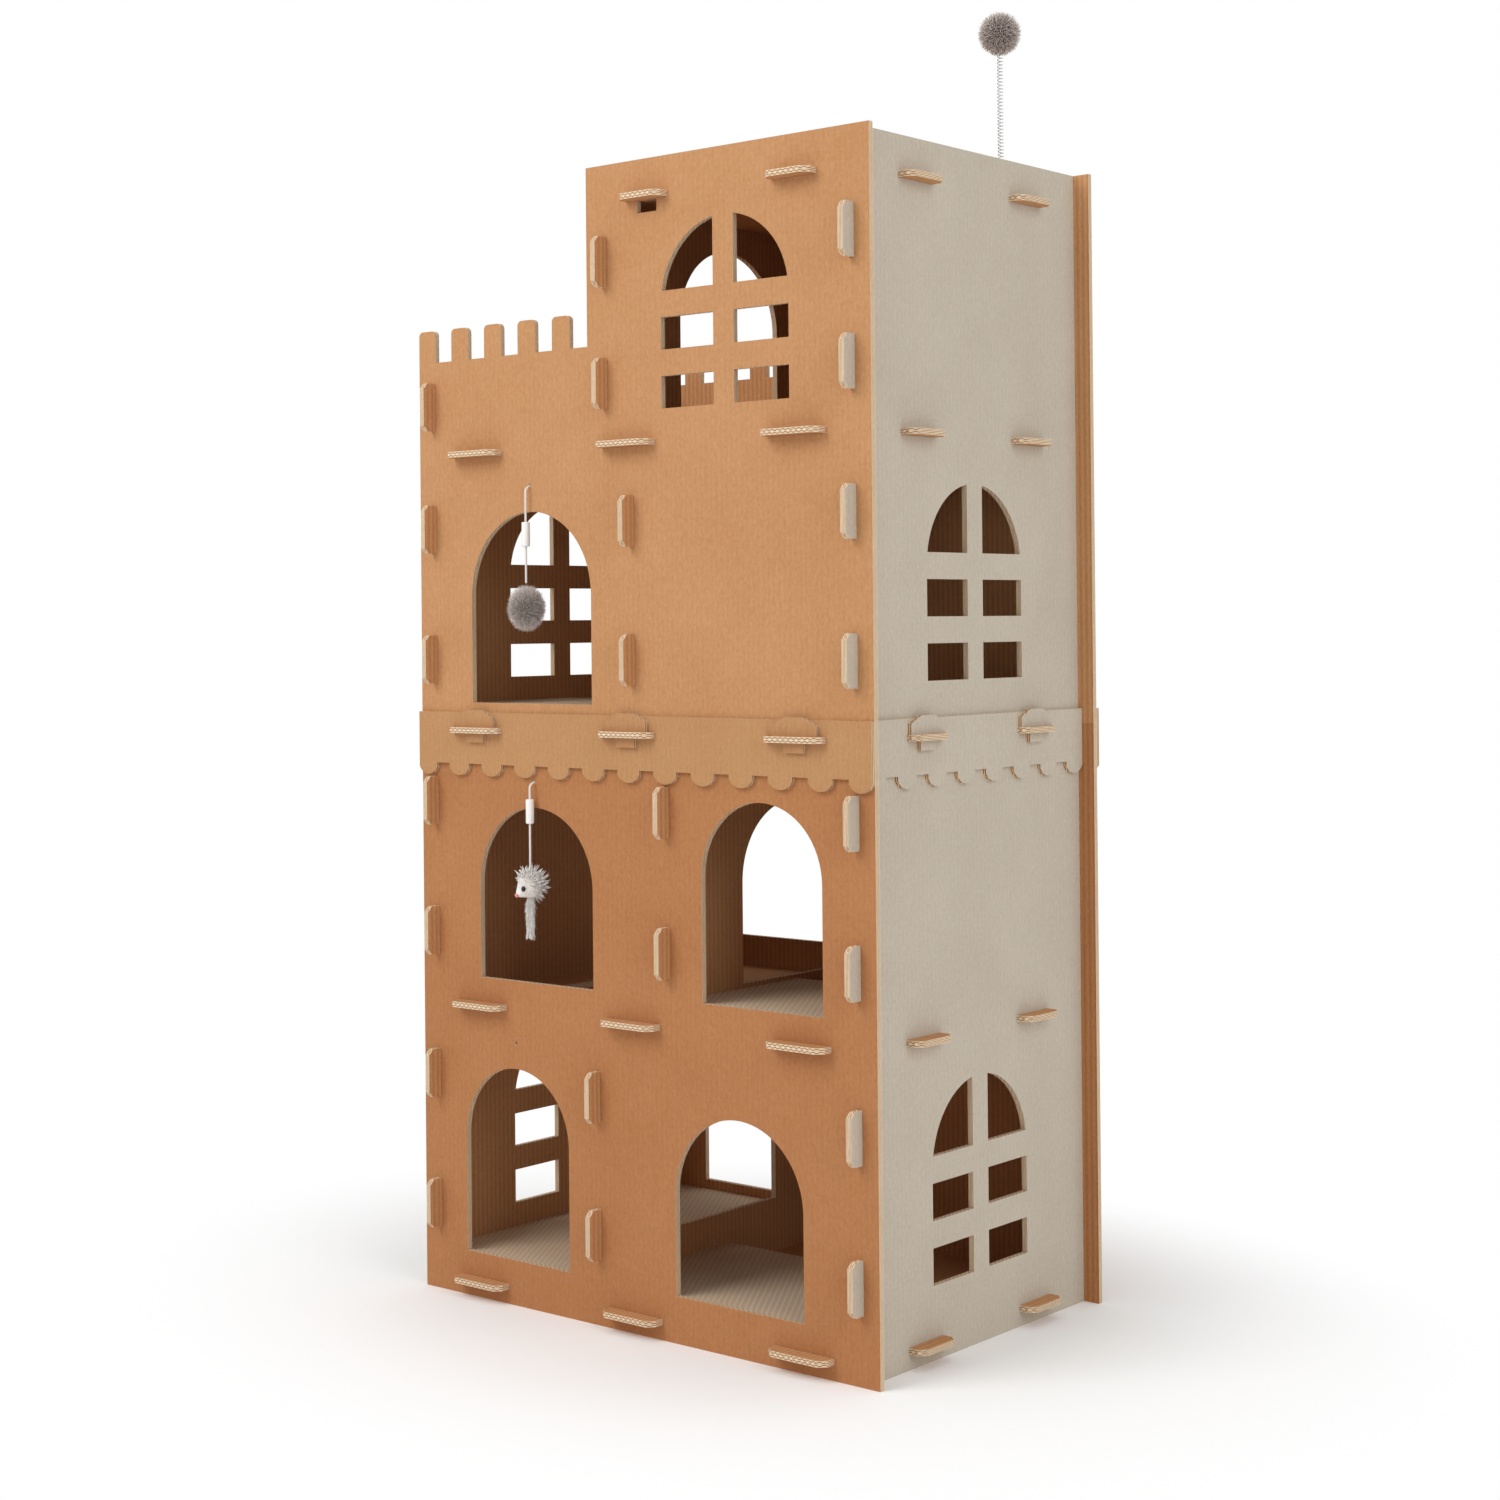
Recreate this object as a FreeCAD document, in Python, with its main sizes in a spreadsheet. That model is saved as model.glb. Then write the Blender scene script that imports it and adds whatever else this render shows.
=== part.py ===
import FreeCAD
import Part
import Sketcher
import math
import os
import re

# A slotted cardboard castle, in millimetres. X runs to the right across the front, the front
# faces -Y and +Z is up. The origin is on the ground below the middle of the castle. The height
# of a shelf is that of its top face. Every sheet of board is cut flat: its outline and its
# openings are drawn on one plane, and its thickness is laid evenly on both sides of it.

doc = FreeCAD.newDocument("CardboardCastle")
dims = doc.addObject("Spreadsheet::Sheet", "dims")

SIZES = [
    ("board", 6.5, "double-wall board of the walls and shelves"),
    ("trim_board", 5.0, "board of the bands and keys"),
    ("fit", 0.2, "gap on each side of a tab in its slot"),
    ("width", 675.0, "front and back panels, end to end"),
    ("depth", 425.5, "front face to back face"),
    ("tower_top", 1300.0, "top edge of the tower"),
    ("side_overhang", 20.5, "front and back panels past the side walls"),
    ("terrace_width", 276.0, "battlement, from the left end to the tower"),
    ("merlon_top", 1137.0, "top of the merlons"),
    ("notch_bottom", 1099.0, "bottom of the gaps between merlons"),
    ("merlon_rounding", 6.0, "corner radius of a merlon"),
    ("floor_level", 23.5, "floor board"),
    ("level_two", 346.5, "shelf of the second level"),
    ("level_three", 667.5, "shelf of the third level, behind the bands"),
    ("level_four", 990.0, "shelf of the terrace and the tower room"),
    ("roof_level", 1261.0, "tower roof"),
    ("wall_tab_length", 57.0, "upright tab of a wall"),
    ("tab_reach", 19.0, "tab past the outer face of the panel it goes through"),
    ("wall_tab_bevel", 6.5, "bevelled corner of a wall's tab"),
    ("low_tab_rise", 79.0, "middle of a wall's lower tab above its level"),
    ("high_tab_rise", 233.0, "middle of a wall's upper tab above its level"),
    ("terrace_tab_rise", 55.5, "middle of the left wall's top tab above level four"),
    ("tower_low_tab_rise", 65.0, "middle of a tower wall's lower tab above level four"),
    ("tower_high_tab_rise", 201.0, "middle of a tower wall's upper tab above level four"),
    ("shelf_tab_length", 79.0, "tab of a shelf through the front or back"),
    ("shelf_tab_pitch", 238.5, "from one of those tabs to the next"),
    ("shelf_tab_bevel", 8.0, "bevelled corner of a shelf's tab"),
    ("side_tab_length", 62.0, "tab of a shelf through a side wall"),
    ("side_tab_pitch", 208.0, "from one of those tabs to the next"),
    ("roof_tab_length", 60.0, "tab of the roof through the front or back"),
    ("roof_tab_pitch", 208.0, "from one of those tabs to the next"),
    ("roof_tab_middle", 134.5, "middle of the pair of tabs, from the castle's middle"),
    ("divider_one", -54.75, "middle plane of the first level's divider"),
    ("divider_two", 51.75, "middle plane of the second level's divider"),
    ("divider_three", 3.75, "middle plane of the third level's divider"),
    ("tower_wall", -34.25, "middle plane of the tower's left wall"),
    ("sill_rise", 28.5, "sill of a front door above its level"),
    ("back_sill_rise", 39.0, "sill of a back door above its level"),
    ("low_left_door", -184.0, "first level, left door: middle"),
    ("low_left_radius", 83.0, "its half width and arch radius"),
    ("low_left_spring", 167.0, "its arch centre above the floor board"),
    ("low_right_door", 149.5, "first level, right door: middle"),
    ("low_right_radius", 89.0, "its half width and arch radius"),
    ("low_right_spring", 141.5, "its arch centre above the floor board"),
    ("second_left_door", -150.5, "second level, left door: middle"),
    ("second_left_radius", 90.0, "its half width and arch radius"),
    ("second_left_spring", 140.0, "its arch centre above level two"),
    ("second_right_door", 184.5, "second level, right door: middle"),
    ("second_right_radius", 83.0, "its half width and arch radius"),
    ("second_right_spring", 166.0, "its arch centre above level two"),
    ("third_door", -155.0, "third level, door: middle"),
    ("third_radius", 96.0, "its half width and arch radius"),
    ("third_spring", 153.0, "its arch centre above level three"),
    ("back_low_door", -170.5, "first level, door in the back: middle"),
    ("back_low_radius", 88.0, "its half width and arch radius"),
    ("back_low_spring", 142.5, "its arch centre above the floor board"),
    ("inner_radius", 88.0, "door in a divider: half width and arch radius"),
    ("inner_sill_rise", 31.5, "its sill above its level"),
    ("inner_spring", 146.0, "its arch centre above its level"),
    ("low_inner_radius", 96.0, "first level's divider: half width and arch radius"),
    ("low_inner_sill_rise", 64.0, "its sill above the floor board"),
    ("low_inner_spring", 160.0, "its arch centre above the floor board"),
    ("window_bar", 28.75, "bars between the panes of a window"),
    ("window_radius", 90.0, "window: half width and arch radius"),
    ("window_rise", 55.5, "side window: its lowest panes above their level"),
    ("pane_height", 40.0, "side window: its square panes"),
    ("tower_window_rise", 32.5, "tower window: its lowest panes above level four"),
    ("tower_pane_height", 35.75, "tower window: its square panes"),
    ("hatch_width", 160.0, "climbing hole in a shelf, along X"),
    ("hatch_depth", 170.0, "climbing hole in a shelf, along Y"),
    ("hatch_two", -170.5, "middle of the hatch in the second level's shelf"),
    ("hatch_right", 184.5, "middle of the hatches in the third and fourth shelves"),
    ("band_rise", 17.0, "top edge of a band above level three"),
    ("band_height", 74.0, "band, from its top edge to the bottom of its scallops"),
    ("scallop_pitch", 54.0, "from one notch of a band to the next"),
    ("scallop_gap", 21.5, "width of a notch"),
    ("scallop_depth", 14.0, "height of a notch"),
    ("scallop_round", 9.0, "height of the round end of a scallop"),
    ("key_width", 60.0, "locking key: head"),
    ("key_height", 20.0, "head above its tab"),
    ("key_shoulder", 11.5, "upright ends of the head"),
    ("key_flat", 24.0, "flat top of the head"),
    ("stub_width", 27.0, "part of the key that goes through the tab"),
    ("stub_drop", 11.0, "stub below the tab"),
    ("finger_hole_width", 29.0, "hole below the roof's left front tab"),
    ("finger_hole_height", 14.0, "hole below the roof's left front tab"),
    ("pad_thickness", 27.0, "scratching pad"),
    ("pad_depth", 214.5, "scratching pad, front to back"),
    ("pad_play", 0.5, "gap between a pad and the walls around it"),
    ("string_hole_rise", 30.0, "string hole above the top of the door's arch"),
    ("string_hole_radius", 2.0, "string hole"),
    ("string_radius", 1.3, "toy string"),
    ("knot_radius", 4.0, "knot behind the panel"),
    ("knot_length", 4.0, "knot behind the panel"),
    ("bead_radius", 4.75, "bead on a string"),
    ("bead_length", 28.0, "bead on a string"),
    ("bead_play", 0.2, "gap between a string and the bead's bore"),
    ("ball_hang", 6.2, "ball toy's string in front of the panel"),
    ("ball_bead_drop", 42.0, "top of its bead below the hole"),
    ("ball_drop", 112.0, "top of the ball below the hole"),
    ("ball_radius", 23.0, "ball, across"),
    ("ball_half_height", 29.0, "ball, up and down"),
    ("mouse_hang", 8.0, "mouse toy's string in front of the panel"),
    ("mouse_bead_drop", 19.5, "top of its bead below the hole"),
    ("mouse_drop", 98.0, "top of the mouse below the hole"),
    ("mouse_radius", 19.0, "mouse's body, across"),
    ("mouse_length", 42.0, "mouse's body, up and down"),
    ("mouse_tail", 44.0, "mouse's tail below its body"),
    ("tail_radius", 6.5, "mouse's tail"),
    ("spring_across", 262.5, "spring toy, from the castle's middle to the right"),
    ("spring_back", 139.0, "spring toy, from the castle's middle to the back"),
    ("foot_radius", 9.0, "spring toy's foot"),
    ("foot_height", 5.0, "spring toy's foot"),
    ("spring_length", 169.0, "spring, foot to ball"),
    ("spring_radius", 3.6, "spring, outside of its turns"),
    ("spring_bore", 2.5, "spring, inside of its turns"),
    ("top_ball_radius", 26.5, "ball on the spring"),
]

MERLONS = 5

# The toys are plain faceted solids. The soft ones have a flat at each pole, where the string
# or the spring meets them.
TOY_SIDES = 12
STRING_SIDES = 8
SOFT_BELTS = 7
POLE_ANGLE = 75
TOY_TURNS = [2 * math.pi * (i + 0.5) / TOY_SIDES for i in range(TOY_SIDES)]
TOY_ROUND = [(math.cos(turn), math.sin(turn)) for turn in TOY_TURNS]

for row, (alias, number, note) in enumerate(SIZES, start=1):
    dims.set(f"A{row}", alias)
    dims.set(f"B{row}", str(number))
    dims.set(f"C{row}", note)
    dims.setAlias(f"B{row}", alias)
doc.recompute()

ALIASES = {alias for alias, number, note in SIZES}
INNER = "(depth / 2 - board)"
REACH = "(depth / 2 + tab_reach)"
SIDE_MIDDLE = "(width / 2 - side_overhang - board / 2)"
SIDE_INNER = "(width / 2 - side_overhang - board)"
SIDE_REACH = "(width / 2 - side_overhang + tab_reach)"
PANEL_MIDDLE = "(depth / 2 - board / 2)"
WINDOW_MIDDLE = "((tower_wall + width / 2 - side_overhang - board / 2) / 2)"

parts = []


def measure(words):
    return dims.evalExpression(words)


def on_sheet(words):
    """Name the sheet in front of each of its aliases."""
    return re.sub("[a-z_]+", lambda word: f"dims.{word[0]}" if word[0] in ALIASES else word[0], words)


def minus(words):
    return f"( -1 * ({words}) )"


# Loops. Each is drawn counter-clockwise: its corners as pairs of words, and for each of its
# sides that is an arc the arc's centre, by the number of the corner where the side starts.

def box(across, low, width, height):
    left = f"{across} - ({width}) / 2"
    right = f"{across} + ({width}) / 2"
    high = f"{low} + {height}"
    return [(left, low), (right, low), (right, high), (left, high)], {}


def arch(across, level, sill, spring, radius):
    left = f"{across} - {radius}"
    right = f"{across} + {radius}"
    low = f"{level} + {sill}"
    high = f"{level} + {spring}"
    return [(left, low), (right, low), (right, high), (left, high)], {2: (across, high)}


def window(across, low, pane_height):
    """Two rows of two square panes, and two panes that share the arch."""
    panes = []
    pane_width = "(window_radius - window_bar / 2)"
    for side in (-1, 1):
        pane_middle = f"{across} + {side} * (window_radius + window_bar / 2) / 2"
        for pane_low in (low, f"{low} + {pane_height} + window_bar"):
            panes.append(box(pane_middle, pane_low, pane_width, pane_height))
    base = f"{low} + 2 * ({pane_height} + window_bar)"
    centre = (across, f"{base} - window_bar / 2")
    span = "sqrt(window_radius ^ 2 - window_bar ^ 2 / 4)"
    bottom = {side: (f"{across} + {side} * window_bar / 2", base) for side in (-1, 1)}
    top = {side: (f"{across} + {side} * window_bar / 2", f"{centre[1]} + {span}") for side in (-1, 1)}
    tip = {side: (f"{across} + {side} * {span}", base) for side in (-1, 1)}
    panes.append(([bottom[1], tip[1], top[1]], {1: centre}))
    panes.append(([bottom[-1], top[-1], tip[-1]], {1: centre}))
    return panes


def teeth(centres, length, root, tip, bevel, way=1):
    """Tabs that stand out from an upright edge to the right, or to the left where way is -1."""
    corners = []
    for centre in centres:
        low = f"{centre} - {length} / 2"
        high = f"{centre} + {length} / 2"
        neck = f"{tip} - {way} * {bevel}"
        corners += [(root, low), (neck, low), (tip, f"{low} + {bevel}")]
        corners += [(tip, f"{high} - {bevel}"), (neck, high), (root, high)]
    return corners


def swapped(corners):
    return [(y, x) for x, y in corners]


def mirrored(corners):
    """The other side of an outline that is alike on both sides of the middle."""
    return [(minus(x), y) for x, y in reversed(corners)]


def new_body(name):
    body = doc.addObject("PartDesign::Body", name)
    body.Label = name
    return body


def draw(body, role, name, loops):
    plane = [feature for feature in body.Origin.OriginFeatures if feature.Role == role][0]
    drawing = body.newObject("Sketcher::SketchObject", name)
    drawing.AttachmentSupport = [(plane, "")]
    drawing.MapMode = "FlatFace"
    sides = []
    joins = []
    holds = []
    for corners, arcs in loops:
        first = len(sides)
        sides += loop_sides(corners, arcs)
        count = len(corners)
        for i, (x, y) in enumerate(corners):
            joins.append(Sketcher.Constraint("Coincident", first + i, 2, first + (i + 1) % count, 1))
            holds.append(("DistanceX", first + i, 1, x))
            holds.append(("DistanceY", first + i, 1, y))
        holds += [("DistanceY", first + i, 3, y) for i, (x, y) in arcs.items()]
    drawing.addGeometry(sides, False)
    drawing.addConstraint(joins)
    hold(drawing, holds)
    return drawing


def loop_sides(corners, arcs):
    spots = [FreeCAD.Vector(measure(x), measure(y), 0) for x, y in corners]
    sides = []
    for i, (spot, end) in enumerate(zip(spots, spots[1:] + spots[:1])):
        if i in arcs:
            middle = FreeCAD.Vector(measure(arcs[i][0]), measure(arcs[i][1]), 0)
            circle = Part.Circle(middle, FreeCAD.Vector(0, 0, 1), (spot - middle).Length)
            angles = [math.atan2(p.y - middle.y, p.x - middle.x) for p in (spot, end)]
            sides.append(Part.ArcOfCircle(circle, angles[0], angles[1]))
        else:
            sides.append(Part.LineSegment(spot, end))
    return sides


def hold(drawing, holds):
    """Hold points at their distances from the origin, each bound to the sheet."""
    constraints = [Sketcher.Constraint(kind, -1, 1, side, point, measure(words))
                   for kind, side, point, words in holds]
    for number, (kind, side, point, words) in zip(drawing.addConstraint(constraints), holds):
        drawing.setExpression(f"Constraints[{number}]", on_sheet(words))


NORMALS = {"XY_Plane": "z", "XZ_Plane": "y", "YZ_Plane": "x"}


def cut_through(body, name, drawing):
    pocket = body.newObject("PartDesign::Pocket", name)
    pocket.Profile = drawing
    pocket.Type = "ThroughAll"
    pocket.SideType = "Symmetric"
    pocket.Refine = False


def sheet(name, role, middle, outline, openings, thickness="board"):
    body = new_body(name)
    pad = body.newObject("PartDesign::Pad", "Board")
    pad.Profile = draw(body, role, "Outline", [outline])
    pad.SideType = "Symmetric"
    pad.setExpression("Length", on_sheet(thickness))
    for opening, loops in openings.items():
        cut_through(body, opening, draw(body, role, f"{opening}Drawing", loops))
    body.setExpression(f"Placement.Base.{NORMALS[role]}", on_sheet(middle))
    parts.append(body)
    return body


# Where the tabs are. A wall's tabs are given by their height, a shelf's by their distance
# from the castle's middle.

def level_tabs(*levels):
    return [f"({level} + {rise})" for level in levels for rise in ("low_tab_rise", "high_tab_rise")]


TOWER_TABS = [f"(level_four + {rise})" for rise in ("tower_low_tab_rise", "tower_high_tab_rise")]
TERRACE_TABS = ["(level_four + terrace_tab_rise)"]
SHELF_TABS = [f"({i} * shelf_tab_pitch)" for i in (-1, 0, 1)]
SIDE_TABS = [f"({i} * side_tab_pitch / 2)" for i in (-1, 1)]
ROOF_TABS = [f"(roof_tab_middle + {i} * roof_tab_pitch / 2)" for i in (-1, 1)]
LOWER_TABS = level_tabs("floor_level", "level_two")
UPPER_TABS = level_tabs("level_three")


def wall_slots(middle, centres):
    slots = []
    for centre in centres:
        low = f"({centre} - wall_tab_length / 2 - fit)"
        slots.append(box(middle, low, "board + 2 * fit", "wall_tab_length + 2 * fit"))
    return slots


def shelf_slots(level, centres, length):
    low = f"({level} - board - fit)"
    return [box(centre, low, f"{length} + 2 * fit", "board + 2 * fit") for centre in centres]


def notches(level, centres, length):
    """Open slots in a top edge, going left."""
    low = f"{level} - board - fit"
    corners = []
    for centre in reversed(centres):
        right = f"{centre} + {length} / 2 + fit"
        left = f"{centre} - {length} / 2 - fit"
        corners += [(right, level), (right, low), (left, low), (left, level)]
    return corners


# Front and back.

def battlement(first):
    """The merlons, going left from the tower. Their arcs are numbered from the first corner."""
    corners = []
    arcs = {}
    shoulder = "merlon_top - merlon_rounding"
    for i in reversed(range(2 * MERLONS)):
        right = f"terrace_width * {i + 1} / {2 * MERLONS} - width / 2"
        left = f"terrace_width * {i} / {2 * MERLONS} - width / 2"
        if i % 2:
            corners += [(right, "notch_bottom"), (left, "notch_bottom")]
        else:
            arcs[first + len(corners)] = (f"{right} - merlon_rounding", shoulder)
            corners += [(right, shoulder), (f"{right} - merlon_rounding", "merlon_top")]
            arcs[first + len(corners)] = (f"{left} + merlon_rounding", shoulder)
            corners += [(f"{left} + merlon_rounding", "merlon_top"), (left, shoulder)]
    return corners, arcs


def door(name, level, sill="sill_rise"):
    return arch(f"{name}_door", level, sill, f"{name}_spring", f"{name}_radius")


def string_hole_height(level, spring, radius):
    return f"{level} + {spring} + {radius} + string_hole_rise"


LOW_HOLE = string_hole_height("floor_level", "low_left_spring", "low_left_radius")
MOUSE_HOLE = string_hole_height("level_two", "second_left_spring", "second_left_radius")
BALL_HOLE = string_hole_height("level_three", "third_spring", "third_radius")


def lower_panel(name, side, doors):
    half = "width / 2"
    top = [(half, "level_three")] + notches("level_three", SHELF_TABS, "shelf_tab_length")
    corners = [(minus(half), "0"), (half, "0")] + top + [(minus(half), "level_three")]
    openings = {
        "LeftWallSlots": wall_slots(minus(SIDE_MIDDLE), LOWER_TABS),
        "RightWallSlots": wall_slots(SIDE_MIDDLE, LOWER_TABS),
        "FirstDividerSlots": wall_slots("divider_one", level_tabs("floor_level")),
        "SecondDividerSlots": wall_slots("divider_two", level_tabs("level_two")),
        "FloorSlots": shelf_slots("floor_level", SHELF_TABS, "shelf_tab_length"),
        "ShelfSlots": shelf_slots("level_two", SHELF_TABS, "shelf_tab_length"),
        "Doors": doors,
    }
    return sheet(name, "XZ_Plane", f"{side} * {PANEL_MIDDLE}", (corners, {}), openings)


def upper_panel(name, side, more):
    half = "width / 2"
    corners = [(minus(half), "level_three"), (half, "level_three")]
    corners += [(half, "tower_top"), ("terrace_width - width / 2", "tower_top")]
    merlons, arcs = battlement(len(corners))
    corners += merlons
    openings = {
        "LeftWallSlots": wall_slots(minus(SIDE_MIDDLE), UPPER_TABS + TERRACE_TABS),
        "RightWallSlots": wall_slots(SIDE_MIDDLE, UPPER_TABS + TOWER_TABS),
        "DividerSlots": wall_slots("divider_three", UPPER_TABS),
        "TowerWallSlots": wall_slots("tower_wall", TOWER_TABS),
        "ShelfSlots": shelf_slots("level_four", SHELF_TABS, "shelf_tab_length"),
        "RoofSlots": shelf_slots("roof_level", ROOF_TABS, "roof_tab_length"),
    }
    openings.update(more)
    return sheet(name, "XZ_Plane", f"{side} * {PANEL_MIDDLE}", (corners, arcs), openings)


def string_hole(body, across, height):
    drawing = draw(body, "XZ_Plane", "StringHoleDrawing", [])
    spot = FreeCAD.Vector(measure(across), measure(height), 0)
    radius = measure("string_hole_radius")
    drawing.addGeometry(Part.Circle(spot, FreeCAD.Vector(0, 0, 1), radius), False)
    hold(drawing, [("DistanceX", 0, 3, across), ("DistanceY", 0, 3, height)])
    size = drawing.addConstraint(Sketcher.Constraint("Radius", 0, radius))
    drawing.setExpression(f"Constraints[{size}]", "dims.string_hole_radius")
    cut_through(body, "StringHole", drawing)


def front_panels():
    doors = [door("low_left", "floor_level"), door("low_right", "floor_level")]
    doors += [door("second_left", "level_two"), door("second_right", "level_two")]
    lower = lower_panel("front_lower_panel", -1, doors)
    string_hole(lower, "low_left_door", LOW_HOLE)
    string_hole(lower, "second_left_door", MOUSE_HOLE)
    tower_window = window(WINDOW_MIDDLE, "(level_four + tower_window_rise)", "tower_pane_height")
    more = {"Door": [door("third", "level_three")], "Window": tower_window}
    upper = upper_panel("front_upper_panel", -1, more)
    string_hole(upper, "third_door", BALL_HOLE)
    hole_low = "(roof_level - board - finger_hole_height)"
    finger_hole = box(ROOF_TABS[0], hole_low, "finger_hole_width", "finger_hole_height")
    cut_through(upper, "FingerHole", draw(upper, "XZ_Plane", "FingerHoleDrawing", [finger_hole]))


def back_panels():
    doors = [door("back_low", "floor_level", "back_sill_rise")]
    doors.append(door("second_left", "level_two", "back_sill_rise"))
    lower_panel("back_lower_panel", 1, doors)
    upper_panel("back_upper_panel", 1, {})


# Walls across the castle.

def wall(name, middle, low, high, tabs, openings, top=()):
    tab_corners = teeth(tabs, "wall_tab_length", INNER, REACH, "wall_tab_bevel")
    right = [(INNER, low)] + tab_corners + [(INNER, high)]
    sheet(name, "YZ_Plane", middle, (right + list(top) + mirrored(right), {}), openings)


def side_walls():
    for name, side, upper_tabs, top in (
            ("left", -1, UPPER_TABS + TERRACE_TABS, "notch_bottom"),
            ("right", 1, UPPER_TABS + TOWER_TABS, "tower_top")):
        middle = f"{side} * {SIDE_MIDDLE}"
        openings = {
            "FloorSlots": shelf_slots("floor_level", SIDE_TABS, "side_tab_length"),
            "ShelfSlots": shelf_slots("level_two", SIDE_TABS, "side_tab_length"),
            "Window": window("0", "(floor_level + window_rise)", "pane_height"),
        }
        edge = notches("level_three", SIDE_TABS, "side_tab_length")
        wall(f"{name}_lower_wall", middle, "0", "level_three", LOWER_TABS, openings, edge)
        openings = {
            "ShelfSlots": shelf_slots("level_four", SIDE_TABS, "side_tab_length"),
            "Window": window("0", "(level_three + window_rise)", "pane_height"),
        }
        if top == "tower_top":
            openings["RoofSlots"] = shelf_slots("roof_level", SIDE_TABS, "side_tab_length")
        wall(f"{name}_upper_wall", middle, "level_three", top, upper_tabs, openings)


def dividers():
    hole = arch("0", "floor_level", "low_inner_sill_rise", "low_inner_spring", "low_inner_radius")
    wall("divider_level_1", "divider_one", "floor_level", "level_two - board",
         level_tabs("floor_level"), {"Door": [hole]})
    hole = arch("0", "level_two", "inner_sill_rise", "inner_spring", "inner_radius")
    wall("divider_level_2", "divider_two", "level_two", "level_three - board",
         level_tabs("level_two"), {"Door": [hole]})
    hole = arch("0", "level_three", "inner_sill_rise", "inner_spring", "inner_radius")
    wall("divider_level_3", "divider_three", "level_three", "level_four - board",
         level_tabs("level_three"), {"Door": [hole]})
    hole = arch("0", "level_four", "inner_sill_rise", "inner_spring", "inner_radius")
    openings = {"Door": [hole], "RoofSlots": shelf_slots("roof_level", SIDE_TABS, "side_tab_length")}
    wall("tower_left_wall", "tower_wall", "level_four", "tower_top", TOWER_TABS, openings)


# Shelves.

def shelf(name, level, left, left_tip, tabs, tab_length, openings):
    right_edge = [(SIDE_INNER, minus(INNER))]
    right_edge += teeth(SIDE_TABS, "side_tab_length", SIDE_INNER, SIDE_REACH, "shelf_tab_bevel")
    right_edge += [(SIDE_INNER, INNER)]
    left_edge = [(left, minus(INNER))]
    left_edge += teeth(SIDE_TABS, "side_tab_length", left, left_tip, "shelf_tab_bevel", -1)
    left_edge += [(left, INNER)]
    back_tabs = swapped(teeth(tabs, tab_length, INNER, REACH, "shelf_tab_bevel"))
    front_teeth = teeth(tabs, tab_length, minus(INNER), minus(REACH), "shelf_tab_bevel", -1)
    corners = right_edge + back_tabs[::-1] + left_edge[::-1] + swapped(front_teeth)
    return sheet(name, "XY_Plane", f"{level} - board / 2", (corners, {}), openings)


def hatch(across):
    return box(across, "(-1 * hatch_depth / 2)", "hatch_width", "hatch_depth")


def key_slots():
    slots = []
    long_side = "stub_width + 2 * fit"
    short_side = "trim_board + 2 * fit"
    for side in (-1, 1):
        key_middle = f"{side} * (depth / 2 + 1.5 * trim_board)"
        for tab in SHELF_TABS:
            low = f"({key_middle} - ({short_side}) / 2)"
            slots.append(box(tab, low, long_side, f"({short_side})"))
        key_middle = f"{side} * (width / 2 - side_overhang + 1.5 * trim_board)"
        for tab in SIDE_TABS:
            low = f"({tab} - ({long_side}) / 2)"
            slots.append(box(f"({key_middle})", low, short_side, f"({long_side})"))
    return slots


def shelves():
    left = minus(SIDE_INNER)
    left_tip = minus(SIDE_REACH)
    full = (left, left_tip, SHELF_TABS, "shelf_tab_length")
    shelf("floor_board", "floor_level", *full, {})
    shelf("shelf_level_2", "level_two", *full, {"Hatch": [hatch("hatch_two")]})
    openings = {"Hatch": [hatch("hatch_right")], "KeySlots": key_slots()}
    shelf("shelf_level_3", "level_three", *full, openings)
    shelf("shelf_level_4", "level_four", *full, {"Hatch": [hatch("hatch_right")]})
    roof_left = "(tower_wall + board / 2)"
    roof_tip = "(tower_wall - board / 2 - tab_reach)"
    shelf("tower_roof", "roof_level", roof_left, roof_tip, ROOF_TABS, "roof_tab_length", {})


# Bands and keys, around the joint at level three.

def band(name, role, middle, half, tabs, tab_length):
    low = "(level_three + band_rise - band_height)"
    high = "level_three + band_rise"
    count = round(measure(f"(2 * {half} - scallop_pitch + scallop_gap) / scallop_pitch"))
    edges = [minus(half)]
    for i in range(count):
        notch = f"{i - (count - 1) / 2} * scallop_pitch"
        edges += [f"({notch} - scallop_gap / 2)", f"({notch} + scallop_gap / 2)"]
    edges.append(half)
    corners = []
    arcs = {}
    for left, right in zip(edges[0::2], edges[1::2]):
        rise = f"((({right} - {left}) ^ 2 / 4 + scallop_round ^ 2) / (2 * scallop_round))"
        if left != edges[0]:
            corners.append((left, f"{low} + scallop_depth"))
        arcs[len(corners)] = (f"({left} + {right}) / 2", f"{low} + {rise}")
        corners += [(left, f"{low} + scallop_round"), (right, f"{low} + scallop_round")]
        if right != edges[-1]:
            corners.append((right, f"{low} + scallop_depth"))
    corners += [(half, high), (minus(half), high)]
    slots = {"TabSlots": shelf_slots("level_three", tabs, tab_length)}
    sheet(name, role, middle, (corners, arcs), slots, "trim_board")


def key(name, role, middle, tab):
    low = "level_three - board - stub_drop"
    right = [
        (f"{tab} + stub_width / 2", low),
        (f"{tab} + stub_width / 2", "level_three"),
        (f"{tab} + key_width / 2", "level_three"),
        (f"{tab} + key_width / 2", "level_three + key_shoulder"),
        (f"{tab} + key_flat / 2", "level_three + key_height"),
    ]
    left = [(f"2 * {tab} - ({x})", z) for x, z in reversed(right)]
    sheet(name, role, middle, (right + left, {}), {}, "trim_board")


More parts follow.
